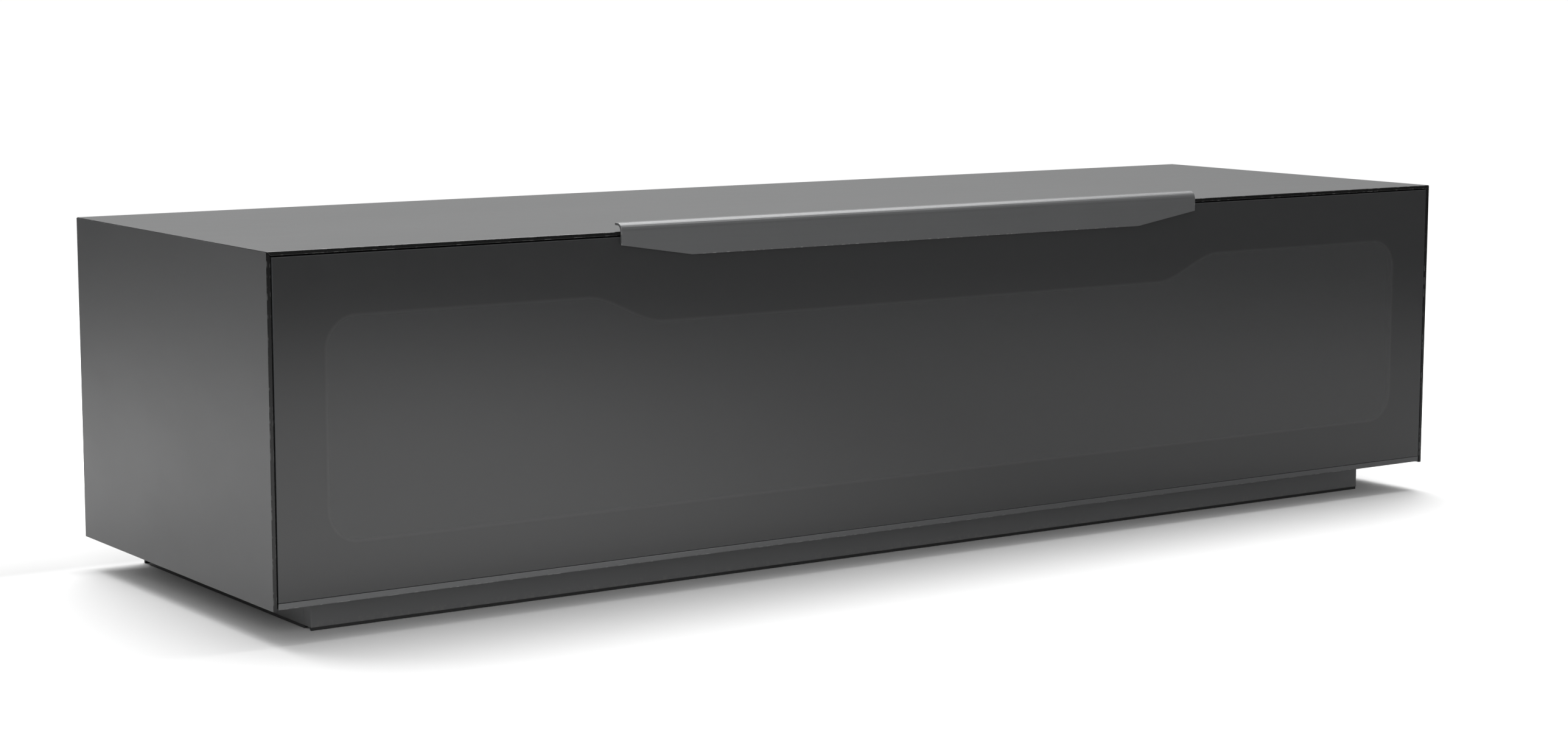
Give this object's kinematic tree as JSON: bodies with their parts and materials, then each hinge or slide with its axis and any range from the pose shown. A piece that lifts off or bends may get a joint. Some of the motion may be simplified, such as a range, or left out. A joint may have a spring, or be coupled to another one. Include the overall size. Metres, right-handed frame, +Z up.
{
  "type": "media cabinet",
  "caption": "Low wide media cabinet on a recessed plinth, with dark glass skins, three open bays and one drop-down smoked glass flap with a long pull lip on its top edge.",
  "frame": {"origin": "on the floor, under the middle of the cabinet's width and depth", "axes": "+Z up, the width along X, the front with the flap facing -Y"},
  "size_m": [1.6, 0.483, 0.3989],
  "materials": {
    "skin_glass": "satin back-lacquered glass, opaque anthracite",
    "smoked_glass": "dark smoked glass with a printed border",
    "shelf_glass": "grey tinted float glass",
    "graphite_board": "graphite melamine board",
    "plinth_lacquer": "satin graphite lacquer",
    "dark_aluminium": "brushed, anthracite anodised",
    "light_aluminium": "satin anodised",
    "zinc_steel": "zinc plated",
    "black_plastic": "fine textured",
    "grey_felt": "pressed felt"
  },
  "bodies": {
    "cabinet": {"back_panel_left": "graphite_board", "back_panel_middle": "graphite_board", "back_panel_right": "graphite_board", "bottom_board": "graphite_board", "bumper_left": "black_plastic", "bumper_right": "black_plastic", "cable_rim_left": "black_plastic", "cable_rim_middle": "black_plastic", "cable_rim_right": "black_plastic", "damper_housing_left": "black_plastic", "damper_housing_right": "black_plastic", "glide_back_left": "grey_felt", "glide_back_middle": "grey_felt", "glide_back_right": "grey_felt", "glide_front_left": "grey_felt", "glide_front_middle": "grey_felt", "glide_front_right": "grey_felt", "hinge_bracket_far_left": "zinc_steel", "hinge_bracket_far_right": "zinc_steel", "hinge_bracket_mid_left": "zinc_steel", "hinge_bracket_mid_right": "zinc_steel", "left_divider": "graphite_board", "left_shelf": "shelf_glass", "left_side_board": "graphite_board", "left_skin": "skin_glass", "magnet_catch_left": "black_plastic", "magnet_catch_right": "black_plastic", "plinth_back": "plinth_lacquer", "plinth_front": "plinth_lacquer", "plinth_left": "plinth_lacquer", "plinth_right": "plinth_lacquer", "right_divider": "graphite_board", "right_shelf": "shelf_glass", "right_side_board": "graphite_board", "right_skin": "skin_glass", "shelf_pin_left_back_inner": "zinc_steel", "shelf_pin_left_back_outer": "zinc_steel", "shelf_pin_left_front_inner": "zinc_steel", "shelf_pin_left_front_outer": "zinc_steel", "shelf_pin_right_back_inner": "zinc_steel", "shelf_pin_right_back_outer": "zinc_steel", "shelf_pin_right_front_inner": "zinc_steel", "shelf_pin_right_front_outer": "zinc_steel", "top_board": "graphite_board", "top_skin": "skin_glass"},
    "flap": {"flap_glass": "smoked_glass", "flap_frame": "graphite_board", "flap_hinge_profile": "light_aluminium", "hinge_rod": "zinc_steel", "handle": "dark_aluminium", "flap_bracket_left": "zinc_steel", "flap_bracket_right": "zinc_steel", "strike_plate_left": "zinc_steel", "strike_plate_right": "zinc_steel"},
    "left_arm": {"damper_arm_left": "zinc_steel"},
    "left_link": {"damper_link_left": "zinc_steel"},
    "right_arm": {"damper_arm_right": "zinc_steel"},
    "right_link": {"damper_link_right": "zinc_steel"}
  },
  "joints": [
    {"name": "flap_hinge", "type": "hinge", "parent": "cabinet", "child": "flap", "pos_m": [0, -0.226, 0.045], "axis": [1, 0, 0], "range_deg": [0, 90]},
    {"name": "left_arm_pivot", "type": "hinge", "parent": "cabinet", "child": "left_arm", "pos_m": [-0.7652, -0.134, 0.097], "axis": [1, 0, 0], "range_deg": [0, 90]},
    {"name": "left_link_pivot", "type": "hinge", "parent": "left_arm", "child": "left_link", "pos_m": [-0.7615, -0.116, 0.189], "axis": [1, 0, 0], "range_deg": [-90, 0]},
    {"name": "right_arm_pivot", "type": "hinge", "parent": "cabinet", "child": "right_arm", "pos_m": [0.7652, -0.134, 0.097], "axis": [1, 0, 0], "range_deg": [0, 90]},
    {"name": "right_link_pivot", "type": "hinge", "parent": "right_arm", "child": "right_link", "pos_m": [0.7615, -0.116, 0.189], "axis": [1, 0, 0], "range_deg": [-90, 0]}
  ],
  "couplings": [
    {"joint": "left_arm_pivot", "follows": "flap_hinge", "ratio": 1},
    {"joint": "left_link_pivot", "follows": "flap_hinge", "ratio": -1},
    {"joint": "right_arm_pivot", "follows": "flap_hinge", "ratio": 1},
    {"joint": "right_link_pivot", "follows": "flap_hinge", "ratio": -1}
  ]
}
